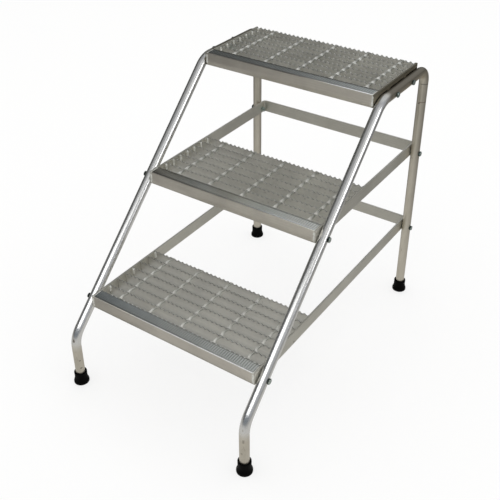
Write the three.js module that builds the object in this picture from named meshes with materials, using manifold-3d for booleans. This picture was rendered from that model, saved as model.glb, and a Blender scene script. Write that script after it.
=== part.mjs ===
// Three-step mounting block for a horse rider: two bent tube side frames on rubber ferrules
// carry three serrated grating treads.
// Units are millimetres, +Z is up, +X is the rider's right when climbing and +Y points from
// the first step to the last one.
// The origin lies on the floor, in the middle of the footprint of the four feet.
import * as THREE from 'three';
import { mergeVertices } from 'three/addons/utils/BufferGeometryUtils.js';
import ManifoldModule from 'manifold-3d';

const manifold = await ManifoldModule();
manifold.setup();

// ---- shared dimensions --------------------------------------------------
const GAP = 0.3;                // running gap between pieces that touch
const CUT_OVERRUN = 2;          // how far a cutter passes each face of a plate

const RISE = 250;               // height of each step over the one before
const FOOT_LIFT = 5;            // the rubber feet lift the whole frame by this much
const TREAD_WIDTH = 510;        // over the two end plates
const TREAD_DEPTH = 250;        // nosing front to the back of the last bearing bar
const PLATE_T = 5;              // flat bar of end plates and straps
const PLATE_H = 35;

const TUBE_OD = 25.4;
const SIDE_GAP = 0.5;           // end plate to tube
const FOOT_Y = 425.65;          // rear feet; the front feet mirror them
const STRINGER_Y0 = -579.77;    // y of the stringer axis where it would meet the floor
const STRINGER_DY = 1.014;      // y travelled per mm of height along the stringer
const TOP_RUN_Z = 735;          // axis of the level tube run beside the top tread
const FERRULE_FLOOR = 5.5;      // rubber under the tube end

const BOLT_D = 8;

const HALF_WIDTH = TREAD_WIDTH / 2;
const INNER_X = HALF_WIDTH - PLATE_T;           // inner face of an end plate
const INFILL_HALF = INNER_X - GAP;              // half length of nosings and bearing bars
const TUBE_R = TUBE_OD / 2;
const TUBE_X = HALF_WIDTH + SIDE_GAP + TUBE_R;
const stringerY = (z) => STRINGER_Y0 + STRINGER_DY * z;

// noseY: front face of the nosing; toothX: one tooth tip of the serration; level: top surface
const TREADS = [
  { name: 'lower', noseY: -363, toothX: 0.5 },
  { name: 'middle', noseY: -106.9, toothX: -0.7 },
  { name: 'top', noseY: 152.1, toothX: -1.9 },
].map((tread, i) => ({ ...tread, level: FOOT_LIFT + RISE * (i + 1) }));
const [LOWER_TREAD, MIDDLE_TREAD, TOP_TREAD] = TREADS;

const SIDES = [
  { side: 'left', sign: -1 },
  { side: 'right', sign: 1 },
];

// ---- materials ----------------------------------------------------------
const metal = ({ color, roughness }) =>
  new THREE.MeshStandardMaterial({ color, roughness, metalness: 1 });
const finish = {
  tube: () => metal({ color: 0xbfbdb8, roughness: 0.28 }),
  plate: () => metal({ color: 0x96938b, roughness: 0.48 }),
  nosing: () => metal({ color: 0x9a9890, roughness: 0.42 }),
  grating: () => metal({ color: 0x8b8c86, roughness: 0.55 }),
  zinc: () => metal({ color: 0xb4bdbd, roughness: 0.35 }),
  rubber: () => new THREE.MeshStandardMaterial({
    color: 0x141415,
    roughness: 0.85,
    metalness: 0,
  }),
};

// ---- solids -------------------------------------------------------------
// Welds a geometry by position alone and drops the triangles that collapse.
function toSolid(geometry) {
  const bare = geometry.clone();
  for (const name of Object.keys(bare.attributes)) {
    if (name !== 'position') bare.deleteAttribute(name);
  }
  const welded = mergeVertices(bare, 1e-4);
  const index = welded.index.array;
  const triangles = [];
  for (let i = 0; i < index.length; i += 3) {
    const [a, b, c] = [index[i], index[i + 1], index[i + 2]];
    if (a !== b && b !== c && a !== c) triangles.push(a, b, c);
  }
  return new manifold.Manifold(new manifold.Mesh({
    numProp: 3,
    vertProperties: new Float32Array(welded.attributes.position.array),
    triVerts: new Uint32Array(triangles),
  }));
}

function fromSolid(solid) {
  const mesh = solid.getMesh();
  const positions = new Float32Array(mesh.vertProperties);
  const geometry = new THREE.BufferGeometry();
  geometry.setAttribute('position', new THREE.BufferAttribute(positions, 3));
  geometry.setIndex(new THREE.BufferAttribute(new Uint32Array(mesh.triVerts), 1));
  geometry.computeVertexNormals();
  return geometry;
}

const fuse = (geometries) =>
  fromSolid(geometries.map(toSolid).reduce((body, next) => body.add(next)));

const drill = (geometry, holes) =>
  fromSolid(holes.reduce((body, hole) => body.subtract(toSolid(hole)), toSolid(geometry)));

function boxBetween([x0, x1], [y0, y1], [z0, z1]) {
  const geometry = new THREE.BoxGeometry(x1 - x0, y1 - y0, z1 - z0);
  return geometry.translate((x0 + x1) / 2, (y0 + y1) / 2, (z0 + z1) / 2);
}

// round or polygonal bar along X between two stations
function barX({ radius, x0, x1, y = 0, z = 0, sides = 12 }) {
  const geometry = new THREE.CylinderGeometry(radius, radius, x1 - x0, sides);
  geometry.rotateZ(Math.PI / 2);
  return geometry.translate((x0 + x1) / 2, y, z);
}

const root = new THREE.Group();
function add(name, geometry, material, parent = root) {
  const mesh = new THREE.Mesh(geometry, material);
  mesh.name = name;
  parent.add(mesh);
  return mesh;
}

// ---- bolt places --------------------------------------------------------
const BOLT_DROP = 23;           // bolts of the two lower treads, below the tread surface
const TOP_BOLT_Y = { front: 76, rear: 168 };    // behind the front of the top nosing
const HOLE_R = BOLT_D / 2 + GAP;

const boltPlaces = [];
for (const { side, sign } of SIDES) {
  for (const tread of [LOWER_TREAD, MIDDLE_TREAD]) {
    const z = tread.level - BOLT_DROP;
    boltPlaces.push(
      { name: `${tread.name}_tread_${side}`, tread, sign, y: stringerY(z), z },
      { name: `${tread.name}_strap_${side}`, tread, sign, y: FOOT_Y, z },
    );
  }
  for (const [end, offset] of Object.entries(TOP_BOLT_Y)) {
    boltPlaces.push({
      name: `top_tread_${end}_${side}`,
      tread: TOP_TREAD,
      sign,
      y: TOP_TREAD.noseY + offset,
      z: TOP_RUN_Z,
    });
  }
}

// cutter reaching the same distance to both sides of centreX
const holeX = ({ radius = HOLE_R, centreX, reach, y, z, sides }) =>
  barX({ radius, x0: centreX - reach, x1: centreX + reach, y, z, sides });

const plateHole = ({ sign, y, z, radius, sides }) => holeX({
  radius,
  centreX: sign * (HALF_WIDTH - PLATE_T / 2),
  reach: PLATE_T / 2 + CUT_OVERRUN,
  y,
  z,
  sides,
});

// ---- side frames: one tube each, bent three times -----------------------
const TUBE_WALL = 2;
const TUBE_SIDES = 16;
// radius of the tube axis, and number of segments around the bend
const FOOT_BEND = { radius: 69, steps: 5 };
const TOP_BEND = { radius: 64, steps: 5 };
const REAR_BEND = { radius: 36, steps: 7 };

// Path that is sampled exactly at its own stations, each a point and a direction.
class StationCurve extends THREE.Curve {
  constructor(stations) {
    super();
    this.stations = stations;
  }

  stationAt(u) {
    return this.stations[Math.round(u * (this.stations.length - 1))];
  }

  getPointAt(u, target = new THREE.Vector3()) {
    return target.copy(this.stationAt(u).point);
  }

  getTangentAt(u, target = new THREE.Vector3()) {
    return target.copy(this.stationAt(u).direction);
  }
}

// Polyline in the YZ plane with an arc at each inner corner; 2D x is y and 2D y is z.
function bentLine(corners, bends) {
  const stations = [];
  const origin = new THREE.Vector2();
  const heading = (from, to) => new THREE.Vector2().subVectors(to, from).normalize();
  const addStation = (point, direction) => stations.push({
    point: new THREE.Vector3(0, point.x, point.y),
    direction: new THREE.Vector3(0, direction.x, direction.y),
  });

  addStation(corners[0], heading(corners[0], corners[1]));
  bends.forEach(({ radius, steps }, i) => {
    const corner = corners[i + 1];
    const before = heading(corners[i], corner);
    const after = heading(corner, corners[i + 2]);
    const turn = Math.atan2(before.cross(after), before.dot(after));
    const reach = radius * Math.tan(Math.abs(turn) / 2);
    const start = corner.clone().addScaledVector(before, -reach);
    const normal = new THREE.Vector2(-before.y, before.x);
    const centre = start.clone().addScaledVector(normal, Math.sign(turn) * radius);
    for (let k = 0; k <= steps; k++) {
      const angle = (turn * k) / steps;
      addStation(
        start.clone().rotateAround(centre, angle),
        before.clone().rotateAround(origin, angle),
      );
    }
  });
  const [beforeLast, last] = corners.slice(-2);
  addStation(last, heading(beforeLast, last));
  return new StationCurve(stations);
}

function tubeRing(radius) {
  return Array.from({ length: TUBE_SIDES }, (_, i) => {
    const angle = (2 * Math.PI * i) / TUBE_SIDES;
    return new THREE.Vector2(radius * Math.cos(angle), radius * Math.sin(angle));
  });
}

function sideFrame(sign) {
  const tubeEndZ = FERRULE_FLOOR + GAP;
  const footCornerZ = (-FOOT_Y - STRINGER_Y0) / STRINGER_DY;
  const corners = [
    [-FOOT_Y, tubeEndZ],
    [-FOOT_Y, footCornerZ],
    [stringerY(TOP_RUN_Z), TOP_RUN_Z],
    [FOOT_Y, TOP_RUN_Z],
    [FOOT_Y, tubeEndZ],
  ].map(([y, z]) => new THREE.Vector2(y, z));
  const path = bentLine(corners, [FOOT_BEND, TOP_BEND, REAR_BEND]);

  const section = new THREE.Shape(tubeRing(TUBE_R));
  section.holes.push(new THREE.Path(tubeRing(TUBE_R - TUBE_WALL)));
  const tube = new THREE.ExtrudeGeometry(section, {
    steps: path.stations.length - 1,
    extrudePath: path,
    curveSegments: 1,
  });
  const centreX = sign * TUBE_X;
  tube.translate(centreX, 0, 0);
  const holes = boltPlaces
    .filter((place) => place.sign === sign)
    .map(({ y, z }) => holeX({ centreX, reach: TUBE_OD, y, z }));
  return drill(tube, holes);
}

for (const { side, sign } of SIDES) add(`side_frame_${side}`, sideFrame(sign), finish.tube());

// ---- rubber ferrules ----------------------------------------------------
const FERRULE_R = 20.5;
const FERRULE_H = 36;
const FERRULE_SEGMENTS = 16;
// [radius, height]: up the outside, over the rim and down the socket
const FERRULE_PROFILE = [
  [0, 0], [19.3, 0], [FERRULE_R, 1.4], [FERRULE_R, 6],
  [19.2, 9.5], [17.6, 14.5], [16.8, 19.5], [17.1, 25],
  [17.1, FERRULE_H - 1.6], [15.9, FERRULE_H], [TUBE_R + GAP, FERRULE_H],
  [TUBE_R + GAP, FERRULE_FLOOR], [0, FERRULE_FLOOR],
];

function ferrule() {
  const profile = FERRULE_PROFILE.map(([radius, z]) => new THREE.Vector2(radius, z));
  return new THREE.LatheGeometry(profile, FERRULE_SEGMENTS).rotateX(Math.PI / 2);
}

for (const [end, y] of [['front', -FOOT_Y], ['rear', FOOT_Y]]) {
  for (const { side, sign } of SIDES) {
    const mesh = add(`ferrule_${end}_${side}`, ferrule(), finish.rubber());
    mesh.position.set(sign * TUBE_X, y, 0);
  }
}

// ---- end plates of the top tread ----------------------------------------
function topEndPlate(sign) {
  const { noseY, level } = TOP_TREAD;
  const x0 = sign > 0 ? INNER_X : -HALF_WIDTH;
  const plate = boxBetween(
    [x0, x0 + PLATE_T],
    [noseY, noseY + TREAD_DEPTH],
    [level - PLATE_H, level],
  );
  const places = boltPlaces.filter((b) => b.tread === TOP_TREAD && b.sign === sign);
  return drill(plate, places.map(plateHole));
}

for (const { side, sign } of SIDES) {
  add(`top_end_plate_${side}`, topEndPlate(sign), finish.plate());
}

// ---- U-shaped straps ----------------------------------------------------
// The end plates of a lower tread and its rear brace are one flat bar.
const STRAP_REAR_Y = 444.4;     // back face of both straps
const STRAP_BEND = 10;          // outside radius of the strap corners
const STRAP_BEND_SEGMENTS = 5;
// spare hole in the right arm of the lower strap
const SPARE_HOLE = { sign: 1, radius: 2.75, y: -192, z: 226, sides: 8 };

function strap(tread, extraHoles = []) {
  const innerBend = STRAP_BEND - PLATE_T;
  const bendX = HALF_WIDTH - STRAP_BEND;
  const bendY = STRAP_REAR_Y - STRAP_BEND;
  const quarter = Math.PI / 2;
  const outline = new THREE.Shape();
  // outer face, from the right arm round to the left
  outline.moveTo(HALF_WIDTH, tread.noseY);
  outline.lineTo(HALF_WIDTH, bendY);
  outline.absarc(bendX, bendY, STRAP_BEND, 0, quarter, false);
  outline.lineTo(-bendX, STRAP_REAR_Y);
  outline.absarc(-bendX, bendY, STRAP_BEND, quarter, Math.PI, false);
  outline.lineTo(-HALF_WIDTH, tread.noseY);
  // inner face, back to the right arm
  outline.lineTo(-INNER_X, tread.noseY);
  outline.lineTo(-INNER_X, bendY);
  outline.absarc(-bendX, bendY, innerBend, Math.PI, quarter, true);
  outline.lineTo(bendX, STRAP_REAR_Y - PLATE_T);
  outline.absarc(bendX, bendY, innerBend, quarter, 0, true);
  outline.lineTo(INNER_X, tread.noseY);

  const bar = new THREE.ExtrudeGeometry(outline, {
    depth: PLATE_H,
    bevelEnabled: false,
    curveSegments: STRAP_BEND_SEGMENTS,
  });
  bar.translate(0, 0, tread.level - PLATE_H);
  const places = boltPlaces.filter((place) => place.tread === tread);
  return drill(bar, [...places, ...extraHoles].map(plateHole));
}

add('lower_strap', strap(LOWER_TREAD, [SPARE_HOLE]), finish.plate());
add('middle_strap', strap(MIDDLE_TREAD), finish.plate());

// ---- nosings ------------------------------------------------------------
const NOSING_DEPTH = 31.7;
const NOSING_H = 35;
const NOSING_T = 3.5;
const NOSING_CHAMFER = 0.9;     // top front edge
// angle section as [y, z], from the front face and the tread surface
const NOSING_SECTION = [
  [0, -NOSING_H], [NOSING_T, -NOSING_H], [NOSING_T, -NOSING_T], [NOSING_DEPTH, -NOSING_T],
  [NOSING_DEPTH, 0], [NOSING_CHAMFER, 0], [0, -NOSING_CHAMFER],
];

function nosing() {
  const section = new THREE.Shape(NOSING_SECTION.map(([y, z]) => new THREE.Vector2(y, z)));
  const geometry = new THREE.ExtrudeGeometry(section, {
    depth: 2 * INFILL_HALF,
    bevelEnabled: false,
  });
  // shape x -> y, shape y -> z, depth -> x
  geometry.applyMatrix4(new THREE.Matrix4().makeBasis(
    new THREE.Vector3(0, 1, 0),
    new THREE.Vector3(0, 0, 1),
    new THREE.Vector3(1, 0, 0),
  ));
  return geometry.translate(-INFILL_HALF, 0, 0);
}

// ---- gratings -----------------------------------------------------------
const BAR_COUNT = 8;            // bearing bars, the first one just behind the nosing
const BAR_PITCH = 30.7;
const BAR_T = 3;
const BAR_H = 35;
const TOOTH_PITCH = 13.95;      // serration along the top of the bearing bars
const TOOTH_DEPTH = 4.2;
const NOTCH_FLAT = 4.6;         // width of the bottom of each notch
const ROD_COUNT = 5;            // square cross rods
const ROD_PITCH = 100;
const ROD_FIRST_X = -185.8;
const ROD_SIZE = 5;
const ROD_DROP = 1.5;           // tread surface to the top of the rods

// notches along the top edge between whole teeth, plain ends
function bearingBar(frontY, toothX) {
  const firstTooth = Math.ceil((-INFILL_HALF - toothX) / TOOTH_PITCH);
  const lastTooth = Math.floor((INFILL_HALF - toothX) / TOOTH_PITCH);
  const topEdge = [[-INFILL_HALF, 0], [toothX + firstTooth * TOOTH_PITCH, 0]];
  for (let k = firstTooth; k < lastTooth; k++) {
    const notchX = toothX + (k + 0.5) * TOOTH_PITCH;
    topEdge.push(
      [notchX - NOTCH_FLAT / 2, -TOOTH_DEPTH],
      [notchX + NOTCH_FLAT / 2, -TOOTH_DEPTH],
      [notchX + TOOTH_PITCH / 2, 0],
    );
  }
  topEdge.push([INFILL_HALF, 0]);
  const outline = [[INFILL_HALF, -BAR_H], ...topEdge.reverse(), [-INFILL_HALF, -BAR_H]];
  const shape = new THREE.Shape(outline.map(([x, z]) => new THREE.Vector2(x, z)));
  const geometry = new THREE.ExtrudeGeometry(shape, { depth: BAR_T, bevelEnabled: false });
  geometry.rotateX(Math.PI / 2);
  return geometry.translate(0, frontY + BAR_T, 0);
}

function grating(toothX) {
  const lastY = TREAD_DEPTH - BAR_T;
  const firstY = lastY - (BAR_COUNT - 1) * BAR_PITCH;
  const pieces = [];
  for (let k = 0; k < BAR_COUNT; k++) {
    pieces.push(bearingBar(firstY + k * BAR_PITCH, toothX));
  }
  // the rods end in the middle of the first and last bars
  for (let k = 0; k < ROD_COUNT; k++) {
    const x = ROD_FIRST_X + k * ROD_PITCH;
    pieces.push(boxBetween(
      [x - ROD_SIZE / 2, x + ROD_SIZE / 2],
      [firstY + BAR_T / 2, lastY + BAR_T / 2],
      [-ROD_DROP - ROD_SIZE, -ROD_DROP],
    ));
  }
  return fuse(pieces);
}

for (const { name, noseY, level, toothX } of TREADS) {
  const tread = new THREE.Group();
  tread.position.set(0, noseY, level);
  root.add(tread);
  add(`${name}_nosing`, nosing(), finish.nosing(), tread);
  add(`${name}_grating`, grating(toothX), finish.grating(), tread);
}

// ---- bolts, washers and nuts --------------------------------------------
// Built for the right side: head outside the tube, washer and nut inside the plate.
const HEX_FLATS = 13;           // across flats of head and nut
const HEAD_T = 4.6;
const NUT_T = 6.5;
const WASHER_OD = 16;
const WASHER_T = 1.6;
const WASHER_SIDES = 16;
const BOLT_PROTRUSION = 2.5;    // shank past the nut
const SHANK_OVERLAP = 1;        // shank let into the head

const HEX_R = HEX_FLATS / Math.sqrt(3);
const HEAD_X = TUBE_X + TUBE_R + GAP;           // underside of the head
const WASHER_X = INNER_X - GAP;                 // outer face of the washer
const NUT_X = WASHER_X - WASHER_T - GAP;        // outer face of the nut
const BOLT_TIP_X = NUT_X - NUT_T - BOLT_PROTRUSION;

const hexX = (x0, x1) => barX({ radius: HEX_R, x0, x1, sides: 6 });
const bore = () => barX({ radius: HOLE_R, x0: BOLT_TIP_X, x1: HEAD_X });

const bolt = () => fuse([
  hexX(HEAD_X, HEAD_X + HEAD_T),
  barX({ radius: BOLT_D / 2, x0: BOLT_TIP_X, x1: HEAD_X + SHANK_OVERLAP }),
]);

function washer() {
  const disc = barX({
    radius: WASHER_OD / 2,
    x0: WASHER_X - WASHER_T,
    x1: WASHER_X,
    sides: WASHER_SIDES,
  });
  return drill(disc, [bore()]);
}

const nut = () => drill(hexX(NUT_X - NUT_T, NUT_X), [bore()]);

for (const { name, sign, y, z } of boltPlaces) {
  for (const [kind, build] of Object.entries({ bolt, washer, nut })) {
    const mesh = add(`${kind}_${name}`, build(), finish.zinc());
    mesh.position.set(0, y, z);
    if (sign < 0) mesh.rotation.z = Math.PI;
  }
}

export default root;
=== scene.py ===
# A free-standing steel step unit with three serrated grating treads between two bent tube frames.
# It stands on the floor at z = 0. X runs left to right, -Y is the front and Y grows towards the
# back, where the steps are highest. Lengths are in millimetres until a mesh is made.
import math

import bpy
import numpy as np
from mathutils import Matrix, Vector

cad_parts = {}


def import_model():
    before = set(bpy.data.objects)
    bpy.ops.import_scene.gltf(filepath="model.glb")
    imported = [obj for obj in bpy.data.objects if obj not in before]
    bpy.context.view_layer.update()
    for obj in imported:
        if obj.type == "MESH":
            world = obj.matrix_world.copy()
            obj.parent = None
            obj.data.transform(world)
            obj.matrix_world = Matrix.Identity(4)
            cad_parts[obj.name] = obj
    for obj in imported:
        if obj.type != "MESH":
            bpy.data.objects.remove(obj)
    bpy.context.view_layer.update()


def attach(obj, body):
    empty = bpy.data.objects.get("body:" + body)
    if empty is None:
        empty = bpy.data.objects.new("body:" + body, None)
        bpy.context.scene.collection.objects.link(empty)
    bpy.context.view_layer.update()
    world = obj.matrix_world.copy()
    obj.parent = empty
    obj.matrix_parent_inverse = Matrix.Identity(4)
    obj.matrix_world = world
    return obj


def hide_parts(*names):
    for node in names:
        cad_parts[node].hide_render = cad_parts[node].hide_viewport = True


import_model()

MM = 0.001
SIDES = (("left", -1), ("right", 1))

# ---------------------------------------------------------------- driving dimensions
TREADS = ["lower", "middle", "top"]
LEVEL = [255.0, 505.0, 755.0]            # top of each tread
NOSE_Y = [-363.0, -106.9, 152.1]         # front of each tread
TREAD_DEPTH = 250.0
HALF = 255.0                             # half the width over the plates
PLATE_T, PLATE_H = 5.0, 35.0
PLATE_MID = HALF - PLATE_T / 2
INNER = HALF - PLATE_T
GAP = 0.3                                # clearance between neighbouring pieces
TREAD_X = INNER - GAP                    # half length of nosings and bars
STRAP_REAR_Y, STRAP_BEND = 444.4, 10.0   # back face and outer bend radius of the U straps

BAR_COUNT, BAR_PITCH, BAR_T, BAR_H = 8, 30.7, 3.0, 35.0
BAR_Y = [TREAD_DEPTH - BAR_T - (BAR_COUNT - 1 - k) * BAR_PITCH for k in range(BAR_COUNT)]
TOOTH_PITCH, TOOTH_DEPTH = 13.95, 4.4
TOOTH_X = [0.5, -0.7, -1.9]              # a tooth tip on each tread
ROD_X = [-185.8 + 100.0 * k for k in range(5)]

TUBE_R, TUBE_WALL = 12.7, 2.0
TUBE_X = HALF + 0.5 + TUBE_R
FRONT_Y, REAR_Y = -425.65, 425.65        # the tube's upright legs
TOP_RUN_Z = LEVEL[2] - 20.0
STRINGER_Y0, STRINGER_RUN = -579.77, 1.014   # y = Y0 + RUN * z on the sloping run
FERRULE_FLOOR = 5.5

BOLT_AF, HEAD_T, NUT_T, WASHER_T = 13.0, 4.6, 6.5, 1.6
HOLE_R = 4.3
BOLT_DROP = 23.0                         # below the tread, on the lower and middle steps
TOP_BOLT_Y = (("front", 76.0), ("rear", 168.0))   # behind the top nosing


def stringer_y(z):
    return STRINGER_Y0 + STRINGER_RUN * z


def bolt_places():
    """Name, side sign, y and z of every bolt."""
    places = []
    for side, s in SIDES:
        for i in (0, 1):
            z = LEVEL[i] - BOLT_DROP
            places.append((f"{TREADS[i]}_tread_{side}", s, stringer_y(z), z))
            places.append((f"{TREADS[i]}_strap_{side}", s, REAR_Y, z))
        for end, y in TOP_BOLT_Y:
            places.append((f"top_tread_{end}_{side}", s, NOSE_Y[2] + y, TOP_RUN_Z))
    return places


BOLTS = bolt_places()


# ---------------------------------------------------------------- mesh helpers
def smooth(ob, angle=35.0):
    mesh = ob.data
    mesh.polygons.foreach_set("use_smooth", [True] * len(mesh.polygons))
    mesh.set_sharp_from_angle(angle=math.radians(angle))
    mesh.update()


def set_attributes(mesh, attrs):
    """Store per-vertex floats or vectors for the materials."""
    for key, data in attrs.items():
        data = np.asarray(data, np.float32)
        if data.ndim == 1:
            mesh.attributes.new(key, "FLOAT", "POINT").data.foreach_set("value", data)
        else:
            layer = mesh.attributes.new(key, "FLOAT_VECTOR", "POINT")
            layer.data.foreach_set("vector", data.ravel())


def piece(name, verts, faces, material, slot, node=None, angle=35.0, weighted=False, attrs=None):
    """A mesh that rides on the root body and stands for the given CAD node."""
    mesh = bpy.data.meshes.new(name)
    mesh.from_pydata((np.asarray(verts, float) * MM).tolist(), [], [tuple(f) for f in faces])
    mesh.validate()
    mesh.materials.append(material)
    ob = bpy.data.objects.new(name, mesh)
    bpy.context.scene.collection.objects.link(ob)
    set_attributes(mesh, attrs or {})
    smooth(ob, angle)
    if weighted:
        normals = ob.modifiers.new("normals", "WEIGHTED_NORMAL")
        normals.keep_sharp = True
        normals.weight = 80
    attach(ob, "root")
    if node:
        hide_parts(node)
    return ob


class Shells:
    """Collects closed shells, with their vertex attributes, into one piece."""

    def __init__(self):
        self.verts, self.faces, self.attrs, self.count = [], [], {}, 0

    def add(self, verts, faces, **attrs):
        self.verts.append(verts)
        self.faces += [tuple(i + self.count for i in f) for f in faces]
        self.count += len(verts)
        for key, value in attrs.items():
            self.attrs.setdefault(key, []).append(np.broadcast_to(value, len(verts)))

    def piece(self, name, material, slot, node=None, angle=35.0):
        attrs = {key: np.concatenate(parts) for key, parts in self.attrs.items()}
        return piece(name, np.concatenate(self.verts), self.faces, material, slot, node,
                     angle=angle, attrs=attrs)


def signed_volume(verts, faces):
    """Six times the enclosed volume, negative when the faces look inward."""
    quads = verts[np.array([f for f in faces if len(f) == 4])]
    total = 0.0
    for q in (1, 2):
        total += np.einsum("ij,ij->i", quads[:, 0], np.cross(quads[:, q], quads[:, q + 1])).sum()
    for face in faces:
        if len(face) > 4:
            p = verts[list(face)]
            for q in range(1, len(face) - 1):
                total += np.dot(p[0], np.cross(p[q], p[q + 1]))
    return total


def loft(rings, closed=False):
    """Skin over closed rings of equal length, capped unless the last ring joins the first."""
    rings = np.asarray(rings, float)
    n, m, _ = rings.shape
    verts = rings.reshape(-1, 3)
    faces = []
    for i in range(n if closed else n - 1):
        a, b = i * m, ((i + 1) % n) * m
        for j in range(m):
            k = (j + 1) % m
            faces.append((a + j, a + k, b + k, b + j))
    if not closed:
        faces.append(tuple(range(m - 1, -1, -1)))
        faces.append(tuple((n - 1) * m + j for j in range(m)))
    if signed_volume(verts, faces) < 0:
        faces = [tuple(reversed(f)) for f in faces]
    return verts, faces


def rounded_rect(width, height, radius, mid=0.0):
    """Closed counter-clockwise outline, three steps to a corner, centred at height mid."""
    points = []
    for sx, sy, first in ((1, 1, 0), (-1, 1, 90), (-1, -1, 180), (1, -1, 270)):
        ox, oy = sx * (width / 2 - radius), sy * (height / 2 - radius)
        for k in range(4):
            a = math.radians(first + 90 * k / 3)
            points.append((ox + radius * math.cos(a), mid + oy + radius * math.sin(a)))
    return np.array(points)


def circle_angles(count):
    return np.linspace(0, 2 * math.pi, count, endpoint=False)


def cylinder_x(mid, reach, y, z, radius, segments):
    """A closed cylinder along X, reaching equally to both sides of mid."""
    return loft([[(x, y + radius * math.cos(a), z + radius * math.sin(a))
                  for a in circle_angles(segments)] for x in (mid - reach, mid + reach)])


def bolt_cutters(mid, reach, segments, sides=(-1, 1), tread=""):
    return [cylinder_x(s * mid, reach, y, z, HOLE_R, segments)
            for name, s, y, z in BOLTS if s in sides and name.startswith(tread)]


def cut(ob, cutters):
    """Subtract closed meshes from ob and keep the result as its mesh."""
    collection = bpy.data.collections.new("cut")
    bpy.context.scene.collection.children.link(collection)
    tools = []
    for verts, faces in cutters:
        mesh = bpy.data.meshes.new("cutter")
        mesh.from_pydata((np.asarray(verts) * MM).tolist(), [], faces)
        tool = bpy.data.objects.new("cutter", mesh)
        collection.objects.link(tool)
        tools.append(tool)
    boolean = ob.modifiers.new("cut", "BOOLEAN")
    boolean.operation = "DIFFERENCE"
    boolean.operand_type = "COLLECTION"
    boolean.collection = collection
    boolean.solver = "EXACT"
    depsgraph = bpy.context.evaluated_depsgraph_get()
    depsgraph.update()
    mesh = bpy.data.meshes.new_from_object(ob.evaluated_get(depsgraph), depsgraph=depsgraph)
    ob.modifiers.remove(boolean)
    old = ob.data
    ob.data = mesh
    mesh.name = ob.name
    bpy.data.meshes.remove(old)
    for tool in tools:
        bpy.data.objects.remove(tool)
    bpy.data.collections.remove(collection)


# ---------------------------------------------------------------- shader graphs
class Graph:
    """Node tree of a material or world. Inputs may be sockets or plain values."""

    def __init__(self, owner):
        owner.use_nodes = True
        self.tree = owner.node_tree
        self.tree.nodes.clear()

    def node(self, kind, **props):
        node = self.tree.nodes.new(kind)
        for key, value in props.items():
            setattr(node, key, value)
        return node

    def put(self, socket, value):
        if isinstance(value, bpy.types.NodeSocket):
            self.tree.links.new(value, socket)
        else:
            socket.default_value = value

    def filled(self, kind, inputs, **props):
        """A node with its inputs given by name or index."""
        node = self.node(kind, **props)
        for key, value in inputs.items():
            self.put(node.inputs[key], value)
        return node

    def xyz(self, vector):
        return self.filled("ShaderNodeSeparateXYZ", {0: vector}).outputs

    def ramp(self, value, over, to=(0, 1), kind="LINEAR"):
        """Map the range over onto the range to, clamped."""
        inputs = {"Value": value, "From Min": over[0], "From Max": over[1],
                  "To Min": to[0], "To Max": to[1]}
        return self.filled("ShaderNodeMapRange", inputs,
                           interpolation_type=kind, clamp=True).outputs["Result"]

    def lerp(self, factor, at_0, at_1):
        return self.ramp(factor, over=(0, 1), to=(at_0, at_1))

    def math(self, operation, a, b=0.0):
        return self.filled("ShaderNodeMath", {0: a, 1: b}, operation=operation).outputs[0]

    def times(self, a, b):
        return self.math("MULTIPLY", a, b)

    def vector_math(self, operation, a, b, slot=1):
        return self.filled("ShaderNodeVectorMath", {0: a, slot: b}, operation=operation).outputs

    def dimmed(self, colour, factor):
        return self.vector_math("SCALE", colour, factor, slot="Scale")[0]

    def mix(self, factor, a, b, **props):
        return self.filled("ShaderNodeMix", {0: factor, 6: a, 7: b},
                           data_type="RGBA", **props).outputs[2]


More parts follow.
